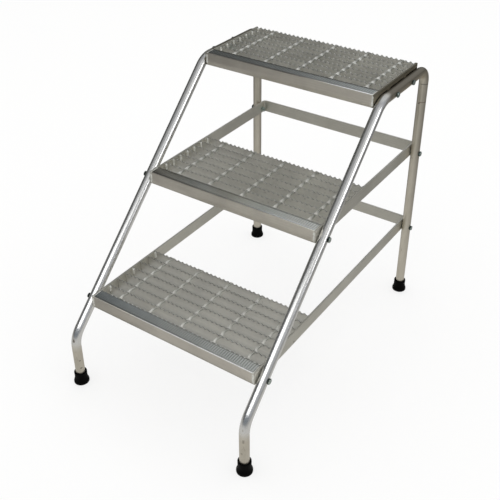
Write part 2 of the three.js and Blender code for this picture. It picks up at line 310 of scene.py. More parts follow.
class Surface(Graph):
    """A Principled material in object coordinates. Stretch scales the coordinates per axis."""

    INPUTS = {"color": "Base Color", "metal": "Metallic", "rough": "Roughness",
              "normal": "Normal", "spec": "Specular IOR Level"}

    def __init__(self, name):
        self.material = bpy.data.materials.new(name)
        super().__init__(self.material)
        output = self.node("ShaderNodeOutputMaterial")
        self.principled = self.node("ShaderNodeBsdfPrincipled")
        self.put(output.inputs[0], self.principled.outputs[0])
        self.coord = self.node("ShaderNodeTexCoord").outputs["Object"]

    def attribute(self, name, output="Fac"):
        return self.node("ShaderNodeAttribute", attribute_name=name).outputs[output]

    def place(self, vector, stretch):
        vector = self.coord if vector is None else vector
        if stretch is None:
            return vector
        return self.filled("ShaderNodeMapping", {"Vector": vector, "Scale": stretch}).outputs[0]

    def noise(self, vector=None, scale=1.0, stretch=None, detail=3.0, rough=0.6, distort=0.0):
        inputs = {"Vector": self.place(vector, stretch), "Scale": scale, "Detail": detail,
                  "Roughness": rough, "Distortion": distort}
        return self.filled("ShaderNodeTexNoise", inputs).outputs["Fac"]

    def cells(self, vector=None, scale=1.0, stretch=None):
        """Distance to the nearest of a scatter of points."""
        inputs = {"Vector": self.place(vector, stretch), "Scale": scale}
        return self.filled("ShaderNodeTexVoronoi", inputs).outputs["Distance"]

    def bump(self, height, depth, strength, under=None):
        """Bump of the given depth in millimetres, over another normal if there is one."""
        inputs = {"Strength": strength, "Distance": depth * MM, "Height": height}
        if under is not None:
            inputs["Normal"] = under
        return self.filled("ShaderNodeBump", inputs).outputs[0]

    def clouded(self, cloud, a, b):
        """Two tones mixed by a cloudy noise."""
        return self.mix(self.ramp(cloud, over=(0.35, 0.65)), a, b)

    def streaked(self, colour, mill, amount, tone):
        """Darker rolling lines."""
        return self.mix(self.ramp(mill, over=(0.35, 0.75), to=(0.0, amount)), colour, tone)

    def mill_rough(self, cloud, mill, between, swing):
        """Roughness that follows the clouding, varied along the rolling lines."""
        return self.math("ADD", self.ramp(cloud, over=(0.3, 0.7), to=between),
                         self.times(self.math("SUBTRACT", mill, 0.5), swing))

    def rolled(self, mill, mill_depth=0.03, grain=240.0, grain_depth=0.015, grain_strength=0.5):
        """Normal of rolled steel: fine grain over the rolling lines."""
        lines = self.bump(mill, depth=mill_depth, strength=0.6)
        return self.bump(self.noise(scale=grain), depth=grain_depth, strength=grain_strength,
                         under=lines)

    def lifted(self, colour, factor):
        return self.mix(1.0, colour, (factor, factor, factor, 1),
                        blend_type="MULTIPLY", clamp_result=True)

    def finish(self, **inputs):
        for key, value in inputs.items():
            self.put(self.principled.inputs[self.INPUTS[key]], value)
        return self.material


LIFT = 1.9                      # tints of bare steel times this are the reflectances
PALE_LIFT = 1.3                 # the same for rods and welds


def rgb(red, green, blue):
    """sRGB 0..255 to linear."""
    def linear(c):
        c /= 255.0
        return c / 12.92 if c <= 0.04045 else ((c + 0.055) / 1.055) ** 2.4
    return (linear(red), linear(green), linear(blue), 1.0)


# ---------------------------------------------------------------- materials
# Dark marks on the tubes: centre, half size and soft edge along x, y, z in mm; strength; tone
TUBE_MARKS = [
    ((275, 420, 693.5), (9, 12, 0.6), (3, 4, 1.2), 0.55, rgb(58, 52, 46)),
    ((275, 418, 641.2), (7, 10, 0.5), (2, 3, 1.0), 0.60, rgb(92, 58, 32)),
    ((266.8, 413, 638.2), (1.0, 3, 1.3), (0.8, 2, 1.0), 0.85, rgb(48, 26, 18)),
    ((-265.8, -438, 148.0), (2.2, 4, 3.6), (1.6, 2, 2.5), 0.75, rgb(58, 48, 36)),
    ((-257.3, -432, 81.0), (0.8, 3, 1.3), (0.8, 2, 1.0), 0.6, rgb(72, 62, 50)),
    ((-256.9, -431, 55.0), (0.8, 3, 1.3), (0.8, 2, 1.0), 0.7, rgb(72, 62, 50)),
    ((273.2, -437, 112.0), (1.6, 3, 4.0), (1.4, 2, 3.0), 0.35, rgb(70, 62, 50)),
    ((270.7, -438, 146.0), (1.0, 3, 2.2), (1.0, 2, 2.0), 0.3, rgb(70, 62, 50)),
    ((268.9, -438, 70.0), (1.8, 3, 1.8), (1.4, 2, 1.8), 0.3, rgb(70, 62, 50)),
]


def tube_steel():
    """Drawn tube: satin legs, a polished slope and a darker top run, whose darker, browner tone
    and paler lower side are painted reflection.
    """
    m = Surface("bent_tube_steel")
    around = m.xyz(m.attribute("ring", "Vector"))     # direction round the tube
    wall = m.filled("ShaderNodeCombineXYZ", {         # metres along and round the tube
        0: m.attribute("path_s"),
        1: m.times(around[0], TUBE_R * MM),
        2: m.times(around[1], TUBE_R * MM),
    }).outputs[0]
    polish = m.attribute("polish")
    top = m.attribute("toprun")
    drawn = m.noise(wall, stretch=(14, 900, 900), detail=4)       # lines along the tube
    turned = m.noise(wall, stretch=(900, 40, 40))                 # marks round the tube
    cloud = m.noise(wall, stretch=(9, 30, 30))
    stain = m.noise(wall, stretch=(22, 60, 60), detail=5, rough=0.65, distort=0.4)

    satin = m.clouded(cloud, rgb(170, 165, 154), rgb(184, 179, 168))
    bright = m.clouded(cloud, rgb(190, 190, 190), rgb(203, 202, 199))
    color = m.mix(polish, satin, bright)
    # painted reflection: the top run is darker and browner
    color = m.mix(top, color, rgb(108, 102, 91))
    # painted reflection: the top run is paler on its lower side
    under = m.times(top, m.ramp(around[1], over=(0.35, 0.8), to=(1.0, 0.0)))
    color = m.mix(under, color, rgb(156, 148, 132))
    stained = m.times(m.ramp(stain, over=(0.62, 0.72)), m.lerp(polish, 0.35, 0.0))
    color = m.mix(stained, color, rgb(120, 112, 100))
    color = m.mix(m.ramp(drawn, over=(0.3, 0.75), to=(0.0, 0.16)), color, rgb(128, 126, 120))
    # a few dark specks
    dots = m.cells(wall, stretch=(48, 48, 48))
    pick = m.noise(wall, stretch=(24, 24, 24), detail=0, rough=0.55)
    speck = m.times(m.ramp(dots, over=(0.05, 0.085), to=(1, 0)), m.ramp(pick, over=(0.56, 0.58)))
    color = m.mix(m.times(speck, 0.6), color, rgb(66, 60, 52))

    place = m.xyz(m.coord)

    def band(axis, centre, half, soft):
        distance = m.math("ABSOLUTE", m.math("SUBTRACT", place[axis], centre * MM))
        return m.ramp(distance, over=(half * MM, (half + soft) * MM), to=(1.0, 0.0))

    for centre, half, soft, strength, tone in TUBE_MARKS:
        weight = band(0, centre[0], half[0], soft[0])
        for axis in (1, 2):
            weight = m.times(weight, band(axis, centre[axis], half[axis], soft[axis]))
        color = m.mix(m.times(weight, strength), color, tone)

    rough = m.math("ADD", m.lerp(polish, 0.34, 0.25),
                   m.times(m.math("SUBTRACT", drawn, 0.5), m.lerp(polish, 0.05, 0.006)))
    rough = m.math("ADD", rough,
                   m.times(m.ramp(stain, over=(0.55, 0.75)), m.lerp(polish, 0.10, 0.0)))
    height = m.math("ADD", m.times(drawn, m.lerp(polish, 0.8, 0.10)),
                    m.times(turned, m.lerp(polish, 0.12, 0.0)))
    lines = m.bump(height, depth=0.004, strength=0.2)
    scuff = m.noise(wall, stretch=(160, 22, 22), detail=2, rough=0.5, distort=0.8)
    scuff = m.times(m.ramp(scuff, over=(0.66, 0.74)), m.lerp(polish, 1, 0.05))
    normal = m.bump(scuff, depth=0.004, strength=0.25, under=lines)
    return m.finish(color=m.lifted(color, LIFT), metal=1.0, rough=rough, normal=normal)


def strap_steel():
    """Rolled flat bar: lengthwise mill lines, clouding and specks."""
    m = Surface("strap_steel")
    dark = rgb(140, 138, 131)
    cloud = m.noise(scale=9.0, detail=4, distort=0.3)
    mill = m.noise(stretch=(14, 14, 900), detail=4)
    fine = m.noise(stretch=(4 * 14, 4 * 14, 4 * 900))
    color = m.clouded(cloud, rgb(170, 168, 160), rgb(182, 180, 172))
    color = m.streaked(color, mill, amount=0.35, tone=dark)
    pick = m.noise(scale=30.0, detail=0, rough=0.55)
    speck = m.times(m.ramp(m.cells(scale=60.0), over=(0.04, 0.10), to=(1, 0)),
                    m.ramp(pick, over=(0.58, 0.62)))
    color = m.mix(m.times(speck, 0.4), color, dark)
    height = m.math("ADD", m.times(mill, 0.7), m.times(fine, 0.3))
    return m.finish(color=m.lifted(color, LIFT * 0.84), metal=0.9, normal=m.rolled(height),
                    rough=m.mill_rough(cloud, mill, between=(0.38, 0.5), swing=0.16))


def end_plate_steel():
    """End plates of the top tread: brown outside, cleaner inside, with painted shade in the slit
    by the tube.
    """
    m = Surface("end_plate_steel")
    cloud = m.noise(scale=9.0, detail=4, distort=0.3)
    mill = m.noise(stretch=(600, 14, 900), detail=4)
    color = m.clouded(cloud, rgb(88, 83, 69), rgb(97, 92, 78))
    place = m.xyz(m.coord)
    from_middle = m.math("ABSOLUTE", place[0])
    top = LEVEL[2] * MM
    outer = m.ramp(from_middle, over=((HALF - 0.5) * MM, (HALF - 0.1) * MM))
    low = m.times(outer, m.ramp(place[2], over=(top - 0.013, top - 0.003), to=(1, 0)))
    color = m.mix(low, color, rgb(138, 131, 112))
    over_tube = m.math("SUBTRACT", place[2], m.attribute("tube_z"))   # above the tube's middle
    # painted shade in the slit between the plate's outer face and the tube
    slit = m.times(outer, m.ramp(over_tube, over=(0.0080, 0.0090), to=(1, 0)))
    color = m.mix(slit, color, rgb(14, 13, 11))
    color = m.streaked(color, mill, amount=0.3, tone=rgb(78, 73, 62))
    inner = m.ramp(from_middle, over=((INNER + 0.4) * MM, (INNER + 1.0) * MM), to=(1, 0))
    color = m.mix(inner, color, rgb(176, 175, 167))
    return m.finish(color=color, metal=m.lerp(inner, 0.3, 0.6), normal=m.rolled(mill),
                    rough=m.mill_rough(cloud, mill, between=(0.40, 0.52), swing=0.16))


def bar_steel():
    """Bearing bars: painted shade towards the bottom, and darker along the serrated top, where the
    cut edge is darker and the notches carry painted shade.
    """
    m = Surface("bearing_bar_steel")
    cloud = m.noise(scale=14.0, detail=4, distort=0.2)
    mill = m.noise(stretch=(12, 500, 700), detail=4)
    color = m.clouded(cloud, rgb(169, 168, 164), rgb(182, 181, 176))
    color = m.streaked(color, mill, amount=0.3, tone=rgb(140, 139, 133))
    deep = m.attribute("deep")                        # 0 near the top, 1 at the bottom edge, for the painted shade
    # painted shade towards the bottom of the bars
    color = m.mix(m.ramp(deep, over=(0.30, 1.0), to=(0.0, 0.5), kind="SMOOTHSTEP"),
                  color, rgb(138, 140, 136))
    edge = m.attribute("edge")                        # 1 or more along the serrated top; the darkening in the notches is painted shade
    color = m.mix(m.times(edge, 0.85), color, rgb(92, 94, 90))
    # painted shade deep in the notches
    color = m.mix(m.ramp(edge, over=(1.0, 2.0), to=(0.0, 0.8)), color, rgb(40, 41, 38))
    spots = m.noise(scale=130.0, detail=2, rough=0.5)
    color = m.mix(m.times(m.ramp(spots, over=(0.66, 0.74)), 0.3), color, rgb(96, 92, 84))
    # painted light and shade across each tread
    color = m.dimmed(color, m.attribute("shade"))
    rough = m.mill_rough(cloud, mill, between=(0.38, 0.48), swing=0.15)
    return m.finish(color=m.lifted(color, LIFT), metal=m.lerp(edge, 0.86, 0.94),
                    rough=m.math("SUBTRACT", rough, m.times(edge, 0.08)),
                    normal=m.rolled(mill, grain=300.0, grain_depth=0.02))


def rod_steel():
    """Twisted rods: dull and dimmed per tread as painted shade, with a painted highlight on the
    joints behind the bars and painted shade along the left edge.
    """
    m = Surface("twisted_rod_steel")
    cloud = m.noise(scale=60.0)
    joint = m.attribute("joint")                      # 1 at the joint behind a bar, where a highlight is painted
    # colour of the painted highlight on the joints
    bright = m.clouded(cloud, rgb(200, 200, 194), rgb(220, 220, 214))
    dull = m.clouded(cloud, rgb(138, 138, 131), rgb(152, 152, 145))
    # painted shade: the dull rod is dimmed for each tread
    dull = m.dimmed(dull, m.attribute("level"))
    color = m.mix(joint, dull, bright)
    # painted shade along the rod's left edge
    color = m.mix(m.attribute("rim"), color, rgb(84, 84, 78))
    fine = m.noise(scale=420.0)
    return m.finish(color=m.lifted(color, PALE_LIFT), metal=m.lerp(joint, 0.6, 0.5),
                    rough=m.ramp(fine, over=(0.3, 0.7), to=(0.28, 0.42)),
                    normal=m.bump(fine, depth=0.03, strength=0.5))


def weld_metal():
    m = Surface("weld_bead")
    ripple = m.noise(scale=260.0, distort=0.5)
    cloud = m.noise(scale=90.0, detail=2, rough=0.5)
    color = m.clouded(cloud, rgb(200, 200, 193), rgb(226, 226, 220))
    color = m.mix(m.times(m.ramp(ripple, over=(0.6, 0.75)), 0.4), color, rgb(120, 112, 98))
    return m.finish(color=m.lifted(color, PALE_LIFT), metal=0.65,
                    rough=m.ramp(ripple, over=(0.3, 0.7), to=(0.24, 0.42)),
                    normal=m.bump(ripple, depth=0.08, strength=0.7))


def nosing_steel():
    """Nosing: a warm front face and a cooler ribbed top; the top's tint is painted reflection,
    painted light, shade and highlight vary across the width, and painted shade lies in the grooves
    and at the rear edge.
    """
    m = Surface("nosing_steel")
    top = m.attribute("top")
    cloud = m.noise(scale=10.0, detail=4, distort=0.3)
    mill = m.noise(stretch=(10, 600, 600), detail=4)
    front = m.clouded(cloud, rgb(170, 166, 159), rgb(184, 180, 172))
    front = m.streaked(front, mill, amount=0.3, tone=rgb(142, 138, 128))
    # painted reflection: the top is cooler than the front face
    cool = m.clouded(cloud, rgb(163, 167, 166), rgb(175, 179, 178))
    # painted shade in the grooves of the top
    cool = m.mix(m.times(m.attribute("rib"), 0.75), cool, rgb(88, 91, 90))
    # painted light and shade across the top
    cool = m.dimmed(cool, m.attribute("tone"))
    # painted reflection: the top's tint turns tan where warm is set
    tan = m.vector_math("MULTIPLY", cool, (1.0, 0.90, 0.78))[0]
    cool = m.mix(m.attribute("warm"), cool, tan)
    # painted light and shade across the front face
    color = m.mix(top, m.dimmed(front, m.attribute("face")), cool)
    lip = m.attribute("lip")              # -1 painted shade, +1 painted highlight along the front corner
    color = m.mix(m.ramp(lip, over=(0.0, 1.0), to=(0.0, 1.0)), color, rgb(236, 234, 226))
    color = m.mix(m.ramp(lip, over=(-1.0, 0.0), to=(1.0, 0.0)), color, rgb(66, 66, 60))
    # painted shade at the gap behind the nosing's rear edge
    color = m.mix(m.times(m.attribute("rear"), 0.9), color, rgb(58, 55, 47))
    rough = m.mill_rough(cloud, mill, between=(0.32, 0.42), swing=0.14)
    return m.finish(color=m.lifted(color, LIFT), rough=m.times(rough, m.lerp(top, 1.0, 0.52)),
                    metal=m.math("SUBTRACT", 1.0, m.attribute("matte")),
                    normal=m.rolled(mill, mill_depth=0.018, grain=320.0, grain_depth=0.008,
                                    grain_strength=0.4))


def zinc_plating():
    m = Surface("zinc_plating")
    cloud = m.noise(scale=160.0)
    tint = m.noise(scale=70.0, detail=2, rough=0.5)
    color = m.clouded(tint, rgb(126, 140, 137), rgb(164, 171, 165))
    color = m.mix(m.times(m.ramp(cloud, over=(0.5, 0.7)), 0.5), color, rgb(66, 78, 76))
    # painted shade on the sides of the hex head, lighter on the shank
    color = m.mix(m.times(m.attribute("flank"), 0.88), color, rgb(30, 38, 35))
    fine = m.noise(scale=700.0, detail=2, rough=0.5)
    return m.finish(color=m.lifted(color, LIFT), metal=1.0,
                    rough=m.ramp(cloud, over=(0.3, 0.7), to=(0.22, 0.4)),
                    normal=m.bump(fine, depth=0.02, strength=0.5))


def black_rubber():
    m = Surface("black_rubber")
    grain = m.noise(scale=900.0)
    dust = m.noise(scale=38.0, detail=4, rough=0.65, distort=0.4)
    color = m.mix(m.times(m.ramp(dust, over=(0.52, 0.72)), 0.30), rgb(2, 2, 2), rgb(16, 16, 15))
    low = m.ramp(m.xyz(m.coord)[2], over=(0.0, 0.009), to=(0.25, 0.0))
    color = m.mix(low, color, rgb(22, 21, 20))
    return m.finish(color=color, metal=0.0, spec=0.07,
                    rough=m.ramp(dust, over=(0.3, 0.7), to=(0.42, 0.62)),
                    normal=m.bump(grain, depth=0.05, strength=0.5))


TUBE = tube_steel()
STRAP = strap_steel()
END_PLATE = end_plate_steel()
BAR = bar_steel()
ROD = rod_steel()
WELD = weld_metal()
NOSING = nosing_steel()
ZINC = zinc_plating()
RUBBER = black_rubber()

# ---------------------------------------------------------------- side frames
TUBE_BENDS = [69.0, 64.0, 36.0]     # bend radii, from the front leg to the rear leg
STEP_LENGTH, STEP_DEGREES = 12.0, 2.2   # spacing of the tube's rings on straights and in bends


def unit(vector):
    return vector / np.linalg.norm(vector)


def rotation(angle):
    return np.array([[math.cos(angle), -math.sin(angle)], [math.sin(angle), math.cos(angle)]])


def tube_path():
    """Points, headings and zones of the centre line in (y, z), from front foot to rear foot.

    Straights are zones 0, 1, 2, 3 and the bends between them 0.5, 1.5, 2.5.
    """
    foot = FERRULE_FLOOR + GAP
    corners = np.array([
        (FRONT_Y, foot),
        (FRONT_Y, (FRONT_Y - STRINGER_Y0) / STRINGER_RUN),
        (stringer_y(TOP_RUN_Z), TOP_RUN_Z),
        (REAR_Y, TOP_RUN_Z),
        (REAR_Y, foot),
    ])
    stations = []
    start = corners[0]
    last = len(corners) - 1
    for i in range(1, last + 1):
        heading = unit(corners[i] - corners[i - 1])
        stop = corners[i]
        if i < last:
            after = unit(corners[i + 1] - corners[i])
            turn = math.atan2(heading[0] * after[1] - heading[1] * after[0], heading @ after)
            radius = TUBE_BENDS[i - 1]
            stop = corners[i] - heading * (radius * math.tan(abs(turn) / 2))
        steps = max(2, int(np.linalg.norm(stop - start) / STEP_LENGTH))
        for k in range(steps + (i == last)):
            stations.append((start + (stop - start) * k / steps, heading, i - 1))
        if i < last:
            centre = stop + np.array([-heading[1], heading[0]]) * np.sign(turn) * radius
            spoke = stop - centre
            steps = max(8, int(abs(math.degrees(turn)) / STEP_DEGREES))
            for k in range(steps):
                turned = rotation(turn * k / steps)
                stations.append((centre + turned @ spoke, turned @ heading, i - 0.5))
            start = centre + rotation(turn) @ spoke
    return [np.array(column) for column in zip(*stations)]


PATH, PATH_HEADING, PATH_ZONE = tube_path()
PATH_STEP = np.linalg.norm(np.diff(PATH, axis=0), axis=1)
PATH_LENGTH = np.concatenate([[0], np.cumsum(PATH_STEP)])


def zone_start(zone):
    return PATH_LENGTH[np.argmax(PATH_ZONE == zone)]


def tube_attributes(points, s):
    """Arc length, finish, the top-run zone of the painted reflection and ring direction of points
    near the tube wall, from their places.
    """
    yz = points[:, 1:]
    nearest = np.full(len(points), 1e18)
    along = np.zeros(len(points))
    across = np.zeros((len(points), 2))
    for i in range(len(PATH) - 1):
        a = PATH[i]
        step = PATH[i + 1] - a
        square = step @ step
        t = np.clip(((yz - a) @ step) / square, 0, 1)
        distance = ((yz - (a + t[:, None] * step)) ** 2).sum(1)
        closer = distance < nearest
        nearest[closer] = distance[closer]
        along[closer] = PATH_LENGTH[i] + t[closer] * PATH_STEP[i]
        heading = step / math.sqrt(square)
        across[closer] = (-heading[1], heading[0])
    centre = np.stack([np.interp(along, PATH_LENGTH, PATH[:, k]) for k in (0, 1)], 1)
    u = (points[:, 0] - s * TUBE_X) / TUBE_R
    v = ((yz - centre) * across).sum(1) / TUBE_R
    ring = np.stack([u, v, np.zeros_like(u)], 1)
    ring /= np.maximum(1e-6, np.linalg.norm(ring, axis=1))[:, None]
    slope, upper_bend, top_run = zone_start(0.5), zone_start(1.5), zone_start(2)
    rear_bend, rear_leg = zone_start(2.5), zone_start(3)
    polish_at = [slope - 6, slope + 14, upper_bend + 20, top_run + 10]
    top_at = [upper_bend + 45, top_run + 10, rear_bend, rear_leg]
    return {"path_s": along * MM,
            "polish": np.interp(along, polish_at, [0, 1, 1, 0]),
            "toprun": np.interp(along, top_at, [0, 1, 1, 0]),
            "ring": ring}


def side_frame(side, s):
    """One bent tube, with its bore, drilled for the bolts."""
    angles = circle_angles(72)
    count = len(PATH)
    rings = []
    for radius, order in ((TUBE_R, range(count)), (TUBE_R - TUBE_WALL, reversed(range(count)))):
        for i in order:
            heading = PATH_HEADING[i]
            ring = np.empty((len(angles), 3))
            ring[:, 0] = s * TUBE_X + radius * np.cos(angles)
            ring[:, 1] = PATH[i][0] + radius * np.sin(angles) * -heading[1]
            ring[:, 2] = PATH[i][1] + radius * np.sin(angles) * heading[0]
            rings.append(ring)
    ob = piece(f"bent_tube_{side}", *loft(rings, closed=True), TUBE, "frame_tube",
               f"side_frame_{side}")
    cut(ob, bolt_cutters(TUBE_X, reach=25, segments=28, sides=(s,)))
    points = np.zeros(len(ob.data.vertices) * 3)
    ob.data.vertices.foreach_get("co", points)
    set_attributes(ob.data, tube_attributes(points.reshape(-1, 3) / MM, s))
    smooth(ob, 40)


for side, s in SIDES:
    side_frame(side, s)

# ---------------------------------------------------------------- rubber ferrules
# (radius, height) from the floor to the mouth
FERRULE_BASE = [(3.0, 0.9), (9.0, 0.9), (12.5, 0.9), (13.2, 0.0), (17.8, 0.0)]
FERRULE_OUTSIDE = [
    (18.9, 0.0), (20.1, 0.35), (20.5, 1.5), (20.5, 5.6), (20.1, 7.4), (18.9, 10.2), (17.7, 14.2),
    (16.95, 19.5), (16.95, 25), (17.1, 30), (17.1, 34.0), (16.75, 35.4), (15.9, 36.0),
]
FERRULE_BORE = [(14.0, 36.0), (13.2, 35.6), (13.0, 34.8), (13.0, 20.0), (13.0, FERRULE_FLOOR)]
FERRULE_RIBS, RIB_DEPTH = 28, 0.34      # round the flared foot
FERRULE_GROOVES = [(0.22, 30.6, 0.45), (0.16, 27.4, 0.4)]   # depth, height, width


def spline(points, count):
    """Catmull-Rom curve through the points, evenly spaced by chord length."""
    points = np.array(points, float)
    chord = np.linalg.norm(np.diff(points, axis=0), axis=1)
    at = np.concatenate([[0], np.cumsum(chord)])
    curve = []
    for t in np.linspace(0, at[-1], count):
        i = min(len(points) - 2, max(0, np.searchsorted(at, t) - 1))
        p0, p1, p2 = points[max(0, i - 1)], points[i], points[i + 1]
        p3 = points[min(len(points) - 1, i + 2)]
        u = (t - at[i]) / max(1e-9, at[i + 1] - at[i])
        curve.append(0.5 * ((2 * p1) + (-p0 + p2) * u + (2 * p0 - 5 * p1 + 4 * p2 - p3) * u * u
                            + (-p0 + 3 * p1 - 3 * p2 + p3) * u ** 3))
    return np.array(curve)


def ferrule(name, x, y, node):
    angles = circle_angles(144)

    def ring(radius, z):
        return np.stack([x + radius * np.cos(angles), y + radius * np.sin(angles),
                         np.full(len(angles), z)], 1)

    rings = [ring(radius, z) for radius, z in FERRULE_BASE]
    for radius, z in spline(FERRULE_OUTSIDE, 58):
        fade = max(0.0, min(1.0, (z - 1.8) / 2.0)) * max(0.0, min(1.0, (19.0 - z) / 4.0))
        ribs = RIB_DEPTH * fade * (np.abs(np.cos(angles * (FERRULE_RIBS // 2))) ** 0.7 - 1.0)
        groove = sum(-depth * math.exp(-((z - at) / width) ** 2)
                     for depth, at, width in FERRULE_GROOVES)
        rings.append(ring(radius + ribs + groove, z))
    rings += [ring(radius, z) for radius, z in FERRULE_BORE]
    piece(name, *loft(rings), RUBBER, "rubber", node, angle=50)


for end, y in (("front", FRONT_Y), ("rear", REAR_Y)):
    for side, s in SIDES:
        ferrule(f"rubber_foot_{end}_{side}", s * TUBE_X, y, f"ferrule_{end}_{side}")

# ---------------------------------------------------------------- flat bar straps and end plates
BAR_EDGE_R = 0.9
END_EASING = [(0.0, 0.6), (0.18, 0.22), (0.6, 0.0)]     # distance from the end, inset
SMALL_HOLE_Y, SMALL_HOLE_Z, SMALL_HOLE_R = -192.0, 226.0, 2.75


def flat_bar(stations, top):
    """Flat bar on edge with eased ends, along stations of (x, y, normal x, normal y)."""
    bottom = top - PLATE_H
    mid = (bottom + top) / 2
    profile = rounded_rect(PLATE_T, top - bottom, BAR_EDGE_R, mid)
    centre = np.array([0, mid])
    half = np.array([PLATE_T / 2, (top - bottom) / 2])
    stations = [np.array(station, float) for station in stations]

    def ring(station, inset):
        p = (profile - centre) * ((half - inset) / half) + centre
        return np.stack([station[0] + p[:, 0] * station[2], station[1] + p[:, 0] * station[3],
                         p[:, 1]], 1)

    def eased(end, neighbour, distance, inset):
        way = neighbour[:2] - end[:2]
        moved = end.copy()
        moved[:2] += way / np.linalg.norm(way) * distance
        return ring(moved, inset)

    rings = [eased(stations[0], stations[1], *ease) for ease in END_EASING]
    rings += [ring(station, 0.0) for station in stations[1:-1]]
    rings += [eased(stations[-1], stations[-2], *ease) for ease in reversed(END_EASING)]
    return loft(rings)


def u_stations(front):
    """Back along the right side, across the rear and forward along the left side."""
    radius = STRAP_BEND - PLATE_T / 2
    bend_x, bend_y = HALF - STRAP_BEND, STRAP_REAR_Y - STRAP_BEND
    right = [(PLATE_MID, front + (bend_y - front) * k / 30, 1, 0) for k in range(30)]
    for k in range(15):
        a = math.pi / 2 * k / 14
        right.append((bend_x + radius * math.cos(a), bend_y + radius * math.sin(a),
                      math.cos(a), math.sin(a)))
    rear = [(bend_x * (1 - 2 * k / 24), bend_y + radius, 0, 1) for k in range(1, 24)]
    left = [(-x, y, -nx, ny) for x, y, nx, ny in reversed(right)]
    return right + rear + left


def u_strap(i):
    tread = TREADS[i]
    ob = piece(f"{tread}_u_strap", *flat_bar(u_stations(NOSE_Y[i]), LEVEL[i]), STRAP, "flat_bar",
               f"{tread}_strap", weighted=True)
    cutters = bolt_cutters(PLATE_MID, reach=6, segments=32, tread=tread)
    if i == 0:      # small hole in the right leg
        cutters.append(cylinder_x(254, 8, SMALL_HOLE_Y, SMALL_HOLE_Z, SMALL_HOLE_R, 40))
    cut(ob, cutters)
    smooth(ob, 35)


def top_end_bar(side, s):
    stations = [(s * PLATE_MID, NOSE_Y[2] + TREAD_DEPTH * k / 16, s, 0) for k in range(17)]
    verts, faces = flat_bar(stations, LEVEL[2])
    # height of the tube's middle beside each vertex, up to the rear bend
    rise = PATH[:int(np.argmax(PATH[:, 0] > 390.0)) + 1]
    tube_z = np.interp(verts[:, 1], rise[:, 0], rise[:, 1]) * MM
    ob = piece(f"top_end_bar_{side}", verts, faces, END_PLATE, "flat_bar",
               f"top_end_plate_{side}", weighted=True, attrs={"tube_z": tube_z})
    cut(ob, bolt_cutters(PLATE_MID, reach=6, segments=32, sides=(s,), tread="top"))
    smooth(ob, 35)


for i in (0, 1):
    u_strap(i)
for side, s in SIDES:
    top_end_bar(side, s)

# ---------------------------------------------------------------- nosings
GROOVE_PITCH, GROOVE_DEPTH, GROOVE_WIDTH = 6.5, 0.6, 0.7   # grooves across the nosing's top
NOSE_R = 1.5


def nosing_profile():
    """Closed outline of the angle: y behind its front face, z from the tread's top."""
    outline = [(0.0, -34.5), (0.0, -20.0), (0.0, -1.9)]
    for k in range(1, 7):
        a = math.radians(90 * k / 6)
        outline.append((NOSE_R - NOSE_R * math.cos(a), -NOSE_R + NOSE_R * math.sin(a)))
    # lengthwise groove behind the front corner
    outline += [(1.9, 0.0), (2.3, -0.1), (2.7, -0.8), (3.2, -1.45), (3.9, -1.55), (4.5, -1.3),
                (4.9, -0.55), (5.3, -0.1), (5.7, 0.0)]
    flat = np.concatenate([[6.2, 6.8, 7.6], np.linspace(9, 26.0, 8),
                           [27.3, 28.5, 29.2, 30.0, 30.6]])
    outline += [(y, 0.0) for y in flat]
    # rear edge, underside and back of the front leg
    outline += [(31.2, -0.08), (31.55, -0.3), (31.7, -0.8), (31.7, -3.2), (31.4, -3.5),
                (20.0, -3.5), (6.0, -3.5), (4.6, -3.9), (3.8, -5.0), (3.5, -6.5), (3.5, -20.0),
                (3.5, -34.5), (3.0, -35.0), (0.5, -35.0)]
    return np.array(outline)


# Painted light and shade across the width, and how matte the top is: a row for each tread, read at
# the listed x values
WEAR_X = [-230, -120, 0, 120, 230]
NOSING_WEAR = {
    "tone": [[0.54, 0.84, 0.91, 1.05, 1.06], [0.36, 0.82, 1.20, 1.25, 1.36],
             [0.40, 0.56, 0.71, 0.85, 1.10]],       # painted light and shade: brightness of the top
    "matte": [[0, 0, 0, 0, 0], [0, 0, 0.03, 0.12, 0.20], [0, 0, 0, 0, 0]],
    "face": [[0.72, 0.92, 0.93, 0.96, 0.97], [0.94, 0.96, 1.0, 1.06, 1.04],
             [0.86, 0.97, 1.0, 0.97, 1.03]],        # painted light and shade: brightness of the front face
    "lip": [[0.2, 0.4, 0.6, 0.7, 0.8], [-0.4, -0.5, -0.2, 0.1, 0.3],
            [-0.3, -0.6, -0.8, 0.3, 1.0]],          # front corner, painted shade to painted highlight
    # warm: painted reflection, turning the top's tint tan
    "warm": [[0, 0.15, 0.35, 0.3, 0.3], [1.0, 0.5, 0.55, 0, 0], [0.35, 0.35, 0.3, 0.25, 0.2]],
}
# Painted shade along the rear edge of each tread's nosing: where it starts, how strong it is
REAR_STAIN = [(28.5, 0.5), (27.0, 0.7), (26.0, 1.0)]


